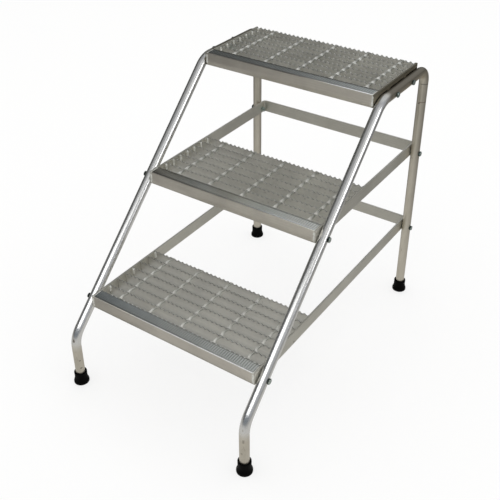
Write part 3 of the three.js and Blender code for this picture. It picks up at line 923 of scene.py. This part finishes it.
def nosing(i):
    profile = nosing_profile()
    y, z = profile.T
    count = len(profile)
    xs = np.linspace(-TREAD_X, TREAD_X, int(2 * TREAD_X / GROOVE_PITCH * 12) + 1)
    from_groove = np.abs(((xs / GROOVE_PITCH) + 0.5) % 1.0 - 0.5) * GROOVE_PITCH
    groove = np.exp(-(from_groove / GROOVE_WIDTH) ** 2)
    grooved = (y > 6.0) & (y < 31.0) & (z > -0.2)
    fade = np.clip((y - 6.0) / 0.8, 0, 1) * np.clip((31.0 - y) / 0.8, 0, 1) * grooved
    top = ((y > 2.2) & (z > -2.0)).astype(float)
    long_groove = ((y > 2.5) & (y < 5.1) & (z > -2.0)) * 1.0
    corner = ((y < 2.5) & (z > -1.7)).astype(float)
    stain_from, stain = REAR_STAIN[i]
    # painted shade along the rear edge
    rear = np.clip((y - stain_from) / 1.4, 0, 1) * (z > -3.3) * stain
    wear = {key: np.interp(xs, WEAR_X, rows[i]) for key, rows in NOSING_WEAR.items()}
    # less metallic where the front corner has its painted highlight
    worn_matte = np.outer(np.clip(wear["lip"], 0, 1) * 0.55, corner)
    attrs = {
        "rib": np.maximum(np.outer(groove, fade), long_groove).ravel(),
        "top": np.tile(top, len(xs)),
        "tone": np.repeat(wear["tone"], count),
        "matte": np.maximum(np.outer(wear["matte"], top), worn_matte).ravel(),
        "lip": np.outer(wear["lip"], corner).ravel(),
        "face": np.repeat(wear["face"], count),
        "warm": np.repeat(wear["warm"], count),
        "rear": np.tile(rear, len(xs)),
    }
    rings = [np.stack([np.full(count, x), NOSE_Y[i] + y,
                       LEVEL[i] + z + -GROOVE_DEPTH * g * fade], 1)
             for x, g in zip(xs, groove)]
    piece(f"{TREADS[i]}_nosing_strip", *loft(rings), NOSING, "nosing", f"{TREADS[i]}_nosing",
          angle=50, attrs=attrs)


# ---------------------------------------------------------------- bearing bars
# Darkening of the cut edge of each tread: at the tips, and down in the notches, where it is
# painted shade
EDGE_DARK = [(0.5, 1.0), (0.42, 1.02), (0.35, 1.6)]
# Painted light and shade: brightness of each tread's bars at x = -200, 0, 200
BAR_SHADE = [[0.88, 0.91, 0.97], [0.98, 0.98, 1.0], [0.98, 0.99, 1.07]]
# Bar section: y behind its front face, z from the tread's top,
# 1 if it follows the teeth, share of the cut-edge darkening and notch shade, 1 at the bottom edge
# where the painted shade is full
BAR_SECTION = np.array([
    (0.0, -BAR_H + 0.35, 0, 0, 1),
    (0.1, -BAR_H + 0.1, 0, 0, 1),
    (0.35, -BAR_H, 0, 0, 1),
    (BAR_T - 0.35, -BAR_H, 0, 0, 1),
    (BAR_T - 0.1, -BAR_H + 0.1, 0, 0, 1),
    (BAR_T, -BAR_H + 0.35, 0, 0, 1),
    (BAR_T, -7.5, 0, 0, 0),
    (BAR_T, -1.25, 1, 0, 0),
    (BAR_T, -0.55, 1, 1, 0),
    (BAR_T - 0.16, -0.16, 1, 1, 0),
    (BAR_T - 0.55, 0.0, 1, 1, 0),
    (0.55, 0.0, 1, 0.75, 0),
    (0.16, -0.16, 1, 0.5, 0),
    (0.0, -0.55, 1, 0.3, 0),
    (0.0, -1.25, 1, 0, 0),
    (0.0, -7.5, 0, 0, 0),
])


def tooth(x, tip, seed):
    """Height of the serrated edge, zero at the tips; each notch has its own depth."""
    u = (x - tip) / TOOTH_PITCH
    k = np.round(u)
    from_tip = np.abs(u - k) * 2
    vary = np.random.default_rng(seed).uniform(0.93, 1.06, 80)
    depth = TOOTH_DEPTH * vary[(k.astype(int) + 40)]
    return -depth * (0.5 - 0.5 * np.cos(math.pi * from_tip)) ** 0.85


def bearing_bars(i):
    xs = np.linspace(-TREAD_X, TREAD_X, int(2 * TREAD_X / TOOTH_PITCH * 14) + 1)
    at_end = np.abs(xs) > TREAD_X - 1.0
    section_y, section_z, follows, edge, deep = BAR_SECTION.T
    at_tip, in_notch = EDGE_DARK[i]
    shade = np.interp(xs, [-200, 0, 200], BAR_SHADE[i])
    shells = Shells()
    for k, bar_y in enumerate(BAR_Y):
        height = tooth(xs, TOOTH_X[i], 100 * i + k)
        height[at_end] = np.minimum(height[at_end], -0.3)
        rings = np.empty((len(xs), len(BAR_SECTION), 3))
        rings[..., 0] = xs[:, None]
        rings[..., 1] = NOSE_Y[i] + bar_y + section_y
        rings[..., 2] = LEVEL[i] + np.outer(height, follows) + section_z
        # darker cut edge, deepening in the notches as painted shade
        dark = at_tip + (in_notch - at_tip) * np.clip(-height / TOOTH_DEPTH, 0, 1)
        shells.add(*loft(rings), edge=np.outer(dark, edge).ravel(), deep=np.tile(deep, len(xs)),
                   shade=np.repeat(shade, len(BAR_SECTION)))
    shells.piece(f"{TREADS[i]}_bearing_bars", BAR, "grating", f"{TREADS[i]}_grating", angle=40)


# ---------------------------------------------------------------- twisted cross rods
ROD_SIDE, ROD_EDGE_R, ROD_STEP = 4.2, 0.6, 0.75
ROD_TWIST, ROD_TURN = 90.0, -59.0       # degrees per bar pitch, and at the first bar
# Per tread, in mm unless noted. shift: sideways at the bars. bow: sideways between them.
# upset, upset_reach: swelling behind a bar, as a share, and its length. bright_reach: length of
# the joint's painted highlight. flash: extra width to the right, as a share. rim: painted shade
# along the left edge, level: painted shade of the dull rod.
ROD_FORM = [
    dict(shift=-2.3, bow=2.3, upset=1.25, upset_reach=9.5, bright_reach=25.0,
         flash=0.0, rim=0.9, level=1.0),
    dict(shift=-0.4, bow=0.8, upset=1.15, upset_reach=12.5, bright_reach=18.0,
         flash=0.25, rim=0.25, level=0.95),
    dict(shift=-1.7, bow=0.5, upset=1.15, upset_reach=12.5, bright_reach=18.0,
         flash=0.25, rim=0.25, level=0.90),
]


def cross_rods(i):
    """Twisted square rods with swollen joints where they pass through the bars."""
    form = ROD_FORM[i]
    section = rounded_rect(ROD_SIDE, ROD_SIDE, ROD_EDGE_R)
    front, rear = BAR_Y[0] + 0.6, BAR_Y[-1] + BAR_T + 0.5
    shells = Shells()
    for rod_x in ROD_X:
        notch = float(tooth(np.array([rod_x]), TOOTH_X[i], 100 * i)[0]) - 0.5
        rings, joint, rim = [], [], []
        for y in np.arange(front, rear + 0.01, ROD_STEP):
            run = y - BAR_Y[0]
            a = math.radians(ROD_TWIST * (run / BAR_PITCH) + ROD_TURN)
            cell = run % BAR_PITCH               # 0 at the front of a bar, BAR_T at its back
            in_bar = cell < BAR_T
            behind = max(0.0, cell - BAR_T)      # distance behind the bar in front
            ahead = BAR_PITCH - cell             # distance to the bar behind
            if in_bar:
                grow, bright = 1.2, 0.4
            else:
                grow = (1.0 + form["upset"] * math.exp(-(behind / form["upset_reach"]) ** 1.6)
                        + 0.25 * math.exp(-(ahead / 1.6) ** 1.5))
                bright = math.exp(-(behind / form["bright_reach"]) ** 2.4)
            # the rod stays below the notches inside and beside a bar
            lid = notch if cell < BAR_T + 0.1 or ahead < 0.1 else -1.0
            px = (section[:, 0] * math.cos(a) - section[:, 1] * math.sin(a)) * grow
            pz = section[:, 0] * math.sin(a) + section[:, 1] * math.cos(a)
            pz = pz * (1 + (grow - 1) * 0.55)
            pz = np.minimum(-3.9 + 0.9 * math.exp(-(behind / 8.0) ** 2) + pz, lid)
            off = px / np.abs(px).max()
            px = px * np.where(px > 0, 1.0 + form["flash"] * bright, 1.0)
            # painted highlight at the joint, fading towards the rod's right side
            joint.append(bright * np.clip(1.0 - 0.6 * np.maximum(0, off - 0.1), 0, 1))
            # painted shade along the left edge, kept clear of the bars
            clear = (min(1.0, max(0.0, (behind - 2.5) / 3.0))
                     * min(1.0, max(0.0, (ahead - 2.0) / 3.0)))
            rim.append(np.clip((-off - 0.72) / 0.2, 0, 1) * clear * form["rim"])
            bow = form["bow"] * math.sin(math.pi * min(1.0, behind / (BAR_PITCH - BAR_T)))
            rings.append(np.stack([rod_x + (form["shift"] - bow) + px,
                                   np.full(len(px), NOSE_Y[i] + y), LEVEL[i] + pz], 1))
        shells.add(*loft(rings), joint=np.concatenate(joint), rim=np.concatenate(rim),
                   level=form["level"])
    shells.piece(f"{TREADS[i]}_cross_rods", ROD, "grating", angle=50)


# ---------------------------------------------------------------- weld beads
BAR_BEAD = [(8.4, 3.3), (7.0, 2.8), (7.0, 2.8)]    # width and height, for each tread


def bead(shells, start, end, normal, seed, width, height, ripple=0.16, wave=2.2):
    """A rippled half-round bead lying on the plane with the given normal."""
    start, end, normal = (np.asarray(a, float) for a in (start, end, normal))
    length = np.linalg.norm(end - start)
    along = (end - start) / length
    normal = unit(normal - normal.dot(along) * along)
    across = np.cross(along, normal)
    steps = max(10, int(length / 0.5))
    knots = max(3, steps // 6)
    draws = np.random.default_rng(seed).normal(0, 1, knots)
    wobble = np.interp(np.linspace(0, 1, steps + 1), np.linspace(0, 1, knots), draws)
    angles = circle_angles(14)
    cos, sin = np.cos(angles), np.sin(angles)
    rings = []
    for k in range(steps + 1):
        u = k / steps
        taper = min(1.0, math.sqrt(max(0.0, 1 - (abs(2 * u - 1) ** 6))) + 0.04)
        swell = (1 + ripple * (abs(math.sin(math.pi * u * length / wave)) - 0.6)
                 + 0.10 * wobble[k])
        sideways = cos * (width / 2 * taper * (1 + 0.06 * wobble[k]))
        rise = sin * taper * np.where(sin > 0, height * swell, 0.5)
        rings.append(start + (end - start) * u + np.outer(sideways, across)
                     + np.outer(rise, normal))
    shells.add(*loft(rings))


def welds(i):
    top, front = LEVEL[i], NOSE_Y[i]
    shells = Shells()
    bar_width, bar_height = BAR_BEAD[i]
    for s in (-1, 1):
        right = s > 0
        end = s * TREAD_X
        # bars to the end plate: every third bar on the lower tread
        for k in range(1, BAR_COUNT, 3 if i == 0 else 1):
            x, y = end - s * 1.3, front + BAR_Y[k] - 0.9
            bead(shells, (x, y, top - 2.8), (x, y, top - 22.0), (-s, -1, 0),
                 seed=900 + 40 * i + 3 * k + right, width=bar_width, height=bar_height)
        # nosing to the end plate: along the top, down the front and across the front corner
        x = end - s * 0.5
        bead(shells, (x, front + 3.0, top - 0.7), (x, front + 29.0, top - 0.7), (-s * 0.5, 0, 1),
             seed=700 + i + right, width=2.4, height=1.1)
        x, y = end + s * 0.2, front + 0.7
        bead(shells, (x, y, top - 1.6), (x, y, top - 33.5), (0, -1, 0),
             seed=800 + i + right, width=9.0, height=0.9, ripple=0.06, wave=3.4)
        y, z = front + 1.6, top - 0.9
        bead(shells, (end - s * 2.6, y, z), (end + s * 2.0, y, z), (0, -0.7, 0.7),
             seed=850 + i + right, width=4.2, height=1.3, ripple=0.05)
    shells.piece(f"{TREADS[i]}_weld_beads", WELD, "grating", angle=60)


for i in range(3):
    nosing(i)
    bearing_bars(i)
    cross_rods(i)
    welds(i)

# ---------------------------------------------------------------- bolts, washers, nuts
CORNER = BOLT_AF / math.sqrt(3)         # centre to corner of the hexagon
HEAD_SEAT = TUBE_X + TUBE_R + GAP       # outside the tube; x values here are for the right side
HEAD_TOP = HEAD_SEAT + HEAD_T
WASHER_SEAT = INNER - GAP
NUT_SEAT = WASHER_SEAT - WASHER_T - GAP
BOLT_TIP = NUT_SEAT - NUT_T - 2.5
THREAD_END = NUT_SEAT + 0.9
THREAD_PITCH, THREAD_ROOT, THREAD_DEPTH, SHANK_R = 1.25, 3.45, 0.5, 3.95


def hexagon(past):
    """Radius of a hexagon with corners rounded off at CORNER + past."""
    def radius(angles):
        from_flat = (angles + math.pi / 6) % (math.pi / 3) - math.pi / 6
        return np.minimum(BOLT_AF / 2 / np.cos(from_flat), CORNER + past)
    return radius


def thread(x):
    """Radius of the thread at x, with a tapered tip."""
    def radius(angles):
        phase = ((x - BOLT_TIP) / THREAD_PITCH - angles / (2 * math.pi)) % 1.0
        crest = THREAD_ROOT + THREAD_DEPTH * (1 - np.abs(2 * phase - 1)) ** 0.9
        if x < BOLT_TIP + 0.3:
            return np.minimum(crest, 3.1)
        if x < BOLT_TIP + 0.5:
            return np.minimum(crest, THREAD_ROOT)
        return crest
    return radius


# (x, radius or function of the angle)
HEAD_PROFILE = [(HEAD_SEAT + x, r) for x, r in (
    (0.0, 5.6), (0.0, 5.9), (0.35, 6.15), (0.36, hexagon(-0.05)), (0.5, hexagon(0.2)),
)] + [(HEAD_TOP - x, r) for x, r in (
    (1.25, hexagon(0.2)), (1.0, hexagon(-0.12)), (0.7, hexagon(-0.5)), (0.35, hexagon(-0.95)),
    (0.12, 6.1), (0.0, 5.85), (0.0, 5.2), (0.22, 4.8), (0.25, 1.5),
)]
SHANK_X = np.concatenate([[BOLT_TIP, BOLT_TIP + 0.35],
                          np.arange(BOLT_TIP + 0.6, NUT_SEAT + 1.0, 0.2), [HEAD_SEAT + 0.2]])
SHANK_PROFILE = [(x, SHANK_R if x > THREAD_END else thread(x)) for x in SHANK_X]
WASHER_PROFILE = [
    (WASHER_SEAT, 4.4), (WASHER_SEAT, 7.75), (WASHER_SEAT - 0.25, 8.0),
    (WASHER_SEAT - WASHER_T + 0.3, 8.0), (WASHER_SEAT - WASHER_T, 7.7),
    (WASHER_SEAT - WASHER_T, 4.5), (WASHER_SEAT - WASHER_T + 0.1, 4.3), (WASHER_SEAT - 0.1, 4.3),
]
NUT_END = NUT_SEAT - NUT_T
NUT_PROFILE = [
    (NUT_SEAT, 4.3), (NUT_SEAT - 0.3, 4.05), (NUT_END + 0.5, 4.05), (NUT_END, 4.5),
    (NUT_END, 5.9), (NUT_END + 0.15, 6.2), (NUT_END + 0.4, hexagon(-0.75)),
    (NUT_END + 0.8, hexagon(-0.25)), (NUT_END + 1.15, hexagon(0.2)),
    (NUT_SEAT - 1.15, hexagon(0.2)), (NUT_SEAT - 0.8, hexagon(-0.25)),
    (NUT_SEAT - 0.4, hexagon(-0.75)), (NUT_SEAT - 0.15, 6.2), (NUT_SEAT, 5.9),
]


def turned(profile, segments, s, y, z, turn=0.0, closed=False):
    """Round or hexagonal form about X, mirrored for the left side."""
    angles = circle_angles(segments)
    rings = []
    for x, radius in profile:
        r = radius(angles) if callable(radius) else np.full(segments, float(radius))
        rings.append(np.stack([np.full(segments, s * x), y + r * np.cos(angles + turn) * s,
                               z + r * np.sin(angles + turn)], 1))
    return loft(rings, closed)


def fastener(name, s, y, z, turn):
    bolt = Shells()
    verts, faces = turned(HEAD_PROFILE, 96, s, y, z, turn)
    # painted shade on the head's sides, none on its end face
    bolt.add(verts, faces, flank=np.clip((HEAD_TOP - 0.8 - np.abs(verts[:, 0])) / 0.3, 0, 1))
    bolt.add(*turned(SHANK_PROFILE, 24, s, y, z), flank=0.3)
    bolt.piece(f"hex_bolt_{name}", ZINC, "fastener", f"bolt_{name}", angle=30)
    piece(f"flat_washer_{name}", *turned(WASHER_PROFILE, 64, s, y, z, closed=True),
          ZINC, "fastener", f"washer_{name}", angle=30)
    piece(f"hex_nut_{name}", *turned(NUT_PROFILE, 96, s, y, z, turn * 1.7 + 0.2, closed=True),
          ZINC, "fastener", f"nut_{name}", angle=30)


rng = np.random.default_rng(20)
for name, s, y, z in BOLTS:
    fastener(name, s, y, z, float(rng.uniform(0, math.pi / 3)))


# ---------------------------------------------------------------- floor (metres)
def floor_material():
    """White to diffuse rays; in reflections a duller grey, graded over the floor."""
    material = bpy.data.materials.new("floor")
    g = Graph(material)
    x, y, _ = g.xyz(g.node("ShaderNodeNewGeometry").outputs["Position"])

    def graded(value, over, to=(0.0, 1.0)):
        return g.ramp(value, over=over, to=to, kind="SMOOTHSTEP")

    def mix_shader(factor, a, b):
        return g.filled("ShaderNodeMixShader", {0: factor, 1: a, 2: b}).outputs[0]

    # reflected colour: darker to the left
    grey = g.mix(graded(x, over=(-2.0, 0.0)), (0.34, 0.335, 0.32, 1), (0.87, 0.86, 0.825, 1))
    # reflected strength: falls towards the back, to the right, and in a patch at the back left
    back = graded(y, over=(0.1, 1.2), to=(1.0 / LIFT, 0.60 / LIFT))
    right = graded(x, over=(0.4, 1.5), to=(1.0, 0.52))
    patch = g.times(graded(x, over=(-0.1, 0.25), to=(0.42, 0.0)), graded(y, over=(0.42, 0.72)))
    strength = g.times(g.times(back, right), g.math("SUBTRACT", 1.0, patch))
    mirrored = g.filled("ShaderNodeEmission", {"Color": grey, "Strength": strength}).outputs[0]

    diffuse = g.filled("ShaderNodeBsdfDiffuse", {"Color": (0.93, 0.93, 0.925, 1)}).outputs[0]
    pale = g.filled("ShaderNodeEmission", {"Color": (1.0, 1.0, 0.998, 1)}).outputs[0]
    rays = g.node("ShaderNodeLightPath").outputs
    shader = mix_shader(rays["Is Glossy Ray"], diffuse, mirrored)
    shader = mix_shader(g.times(rays["Is Camera Ray"], 0.7), shader, pale)
    g.filled("ShaderNodeOutputMaterial", {0: shader})
    return material


def floor():
    """A large disc of concentric rings."""
    mesh = bpy.data.meshes.new("floor")
    count = 48
    radii = (1.5, 3.0, 8.0, 30.0)
    verts = [(0, 0, 0)]
    for r in radii:
        verts += [(r * math.cos(2 * math.pi * k / count), r * math.sin(2 * math.pi * k / count),
                   0.0) for k in range(count)]
    faces = [(0, 1 + k, 1 + (k + 1) % count) for k in range(count)]
    for j in range(len(radii) - 1):
        a, b = 1 + j * count, 1 + (j + 1) * count
        faces += [(a + k, b + k, b + (k + 1) % count, a + (k + 1) % count) for k in range(count)]
    mesh.from_pydata(verts, [], faces)
    ob = bpy.data.objects.new("floor", mesh)
    bpy.context.scene.collection.objects.link(ob)
    mesh.materials.append(floor_material())


# ---------------------------------------------------------------- world and lights (metres)
def direction(azimuth, elevation):
    """Unit vector; azimuth 0 is the front and grows to the right."""
    a, e = math.radians(azimuth), math.radians(elevation)
    return Vector((math.sin(a) * math.cos(e), -math.cos(a) * math.cos(e), math.sin(e)))


# Reflected surroundings, each over the last:
# azimuth, elevation, cosine where it starts, cosine where it is full, colour
WORLD_LOBES = [
    (0, 75, 0.35, 0.98, (0.52, 0.52, 0.52, 1)),         # ceiling
    (75, 14, 0.1, 0.92, (0.56, 0.57, 0.60, 1)),         # right wall
    (12, 10, 0.55, 0.93, (0.27, 0.30, 0.33, 1)),        # front, below the light
    (-115, 12, 0.45, 0.98, (0.10, 0.105, 0.095, 1)),    # dark left
    (-150, 20, 0.8, 0.99, (0.13, 0.14, 0.14, 1)),       # dark back left
    (175, 48, 0.70, 0.93, (0.86, 0.89, 0.92, 1)),       # back, upper
    (50, 50, 0.86, 0.99, (1.05, 1.05, 1.04, 1)),        # front right, upper
]


def world():
    """Camera rays see a plain pale backdrop and diffuse rays even light."""
    studio = bpy.data.worlds.new("studio")
    bpy.context.scene.world = studio
    g = Graph(studio)
    view = g.node("ShaderNodeTexCoord").outputs["Generated"]
    color = (0.17, 0.175, 0.18, 1)
    for azimuth, elevation, start, full, tone in WORLD_LOBES:
        towards = direction(azimuth, elevation).normalized()
        cosine = g.vector_math("DOT_PRODUCT", view, towards)["Value"]
        color = g.mix(g.ramp(cosine, over=(start, full), kind="SMOOTHERSTEP"), color, tone)
    color = g.mix(1.0, color, (1 / LIFT, 1 / LIFT, 1 / LIFT, 1), blend_type="MULTIPLY")
    rays = g.node("ShaderNodeLightPath").outputs
    color = g.mix(rays["Is Glossy Ray"], (0.97, 0.97, 0.97, 1), color)
    color = g.mix(rays["Is Camera Ray"], color, (0.985, 0.985, 0.985, 1))
    background = g.filled("ShaderNodeBackground", {"Color": color, "Strength": 1.0})
    g.filled("ShaderNodeOutputWorld", {0: background.outputs[0]})


def softbox(name, location, target, size, radiance, glossy, diffuse):
    """Rectangular light of the given radiance, aimed at target."""
    light = bpy.data.lights.new(name, "AREA")
    light.shape = "RECTANGLE"
    light.size, light.size_y = size
    light.color = (1, 1, 1)
    light.energy = radiance * math.pi * size[0] * size[1]
    ob = bpy.data.objects.new(name, light)
    ob.location = location
    aim = Vector(target) - Vector(location)
    ob.rotation_euler = aim.to_track_quat("-Z", "Y").to_euler()
    ob.visible_glossy = glossy
    ob.visible_diffuse = diffuse
    ob.visible_camera = False
    bpy.context.scene.collection.objects.link(ob)


floor()
world()
softbox("overhead", location=(0.2, 0.3, 3.4), target=(0.2, 0.3, 0), size=(5.0, 5.0),
        radiance=0.28, glossy=False, diffuse=True)
softbox("front_box", location=(0.12, -2.5, 2.24), target=(0, 0.1, 0.4), size=(3.1, 0.78),
        radiance=3.3 / LIFT, glossy=True, diffuse=False)
softbox("right_box", location=(2.67, -0.12, 1.67), target=(0.1, 0.0, 0.5), size=(1.1, 1.1),
        radiance=4.5 / LIFT, glossy=True, diffuse=False)

# ---------------------------------------------------------------- camera (metres)
CAMERA_PLACE = (0.997934, -1.45975, 1.533381)
CAMERA_AZIMUTH, CAMERA_ELEVATION, CAMERA_ROLL = 34.184, 31.922, -0.077      # degrees


def camera():
    """Looks down at the steps from the front right."""
    cam = bpy.data.cameras.new("camera")
    cam.sensor_fit = "HORIZONTAL"
    cam.sensor_width = 36.0
    cam.lens = 56.824776
    cam.shift_x = -0.007508
    cam.shift_y = -0.08885
    cam.clip_start, cam.clip_end = 0.05, 100.0
    ob = bpy.data.objects.new("camera", cam)
    bpy.context.scene.collection.objects.link(ob)
    azimuth, roll = math.radians(CAMERA_AZIMUTH), math.radians(CAMERA_ROLL)
    back = direction(CAMERA_AZIMUTH, CAMERA_ELEVATION)
    level = Vector((math.cos(azimuth), math.sin(azimuth), 0.0))
    upright = back.cross(level)
    right = level * math.cos(roll) + upright * math.sin(roll)
    up = upright * math.cos(roll) - level * math.sin(roll)
    rows = [(right[k], up[k], back[k], CAMERA_PLACE[k]) for k in range(3)]
    ob.matrix_world = Matrix((*rows, (0, 0, 0, 1)))
    bpy.context.scene.camera = ob


camera()
view_settings = bpy.context.scene.view_settings
view_settings.view_transform = "Standard"
view_settings.look = "None"
view_settings.exposure = 0.0
view_settings.gamma = 1.0
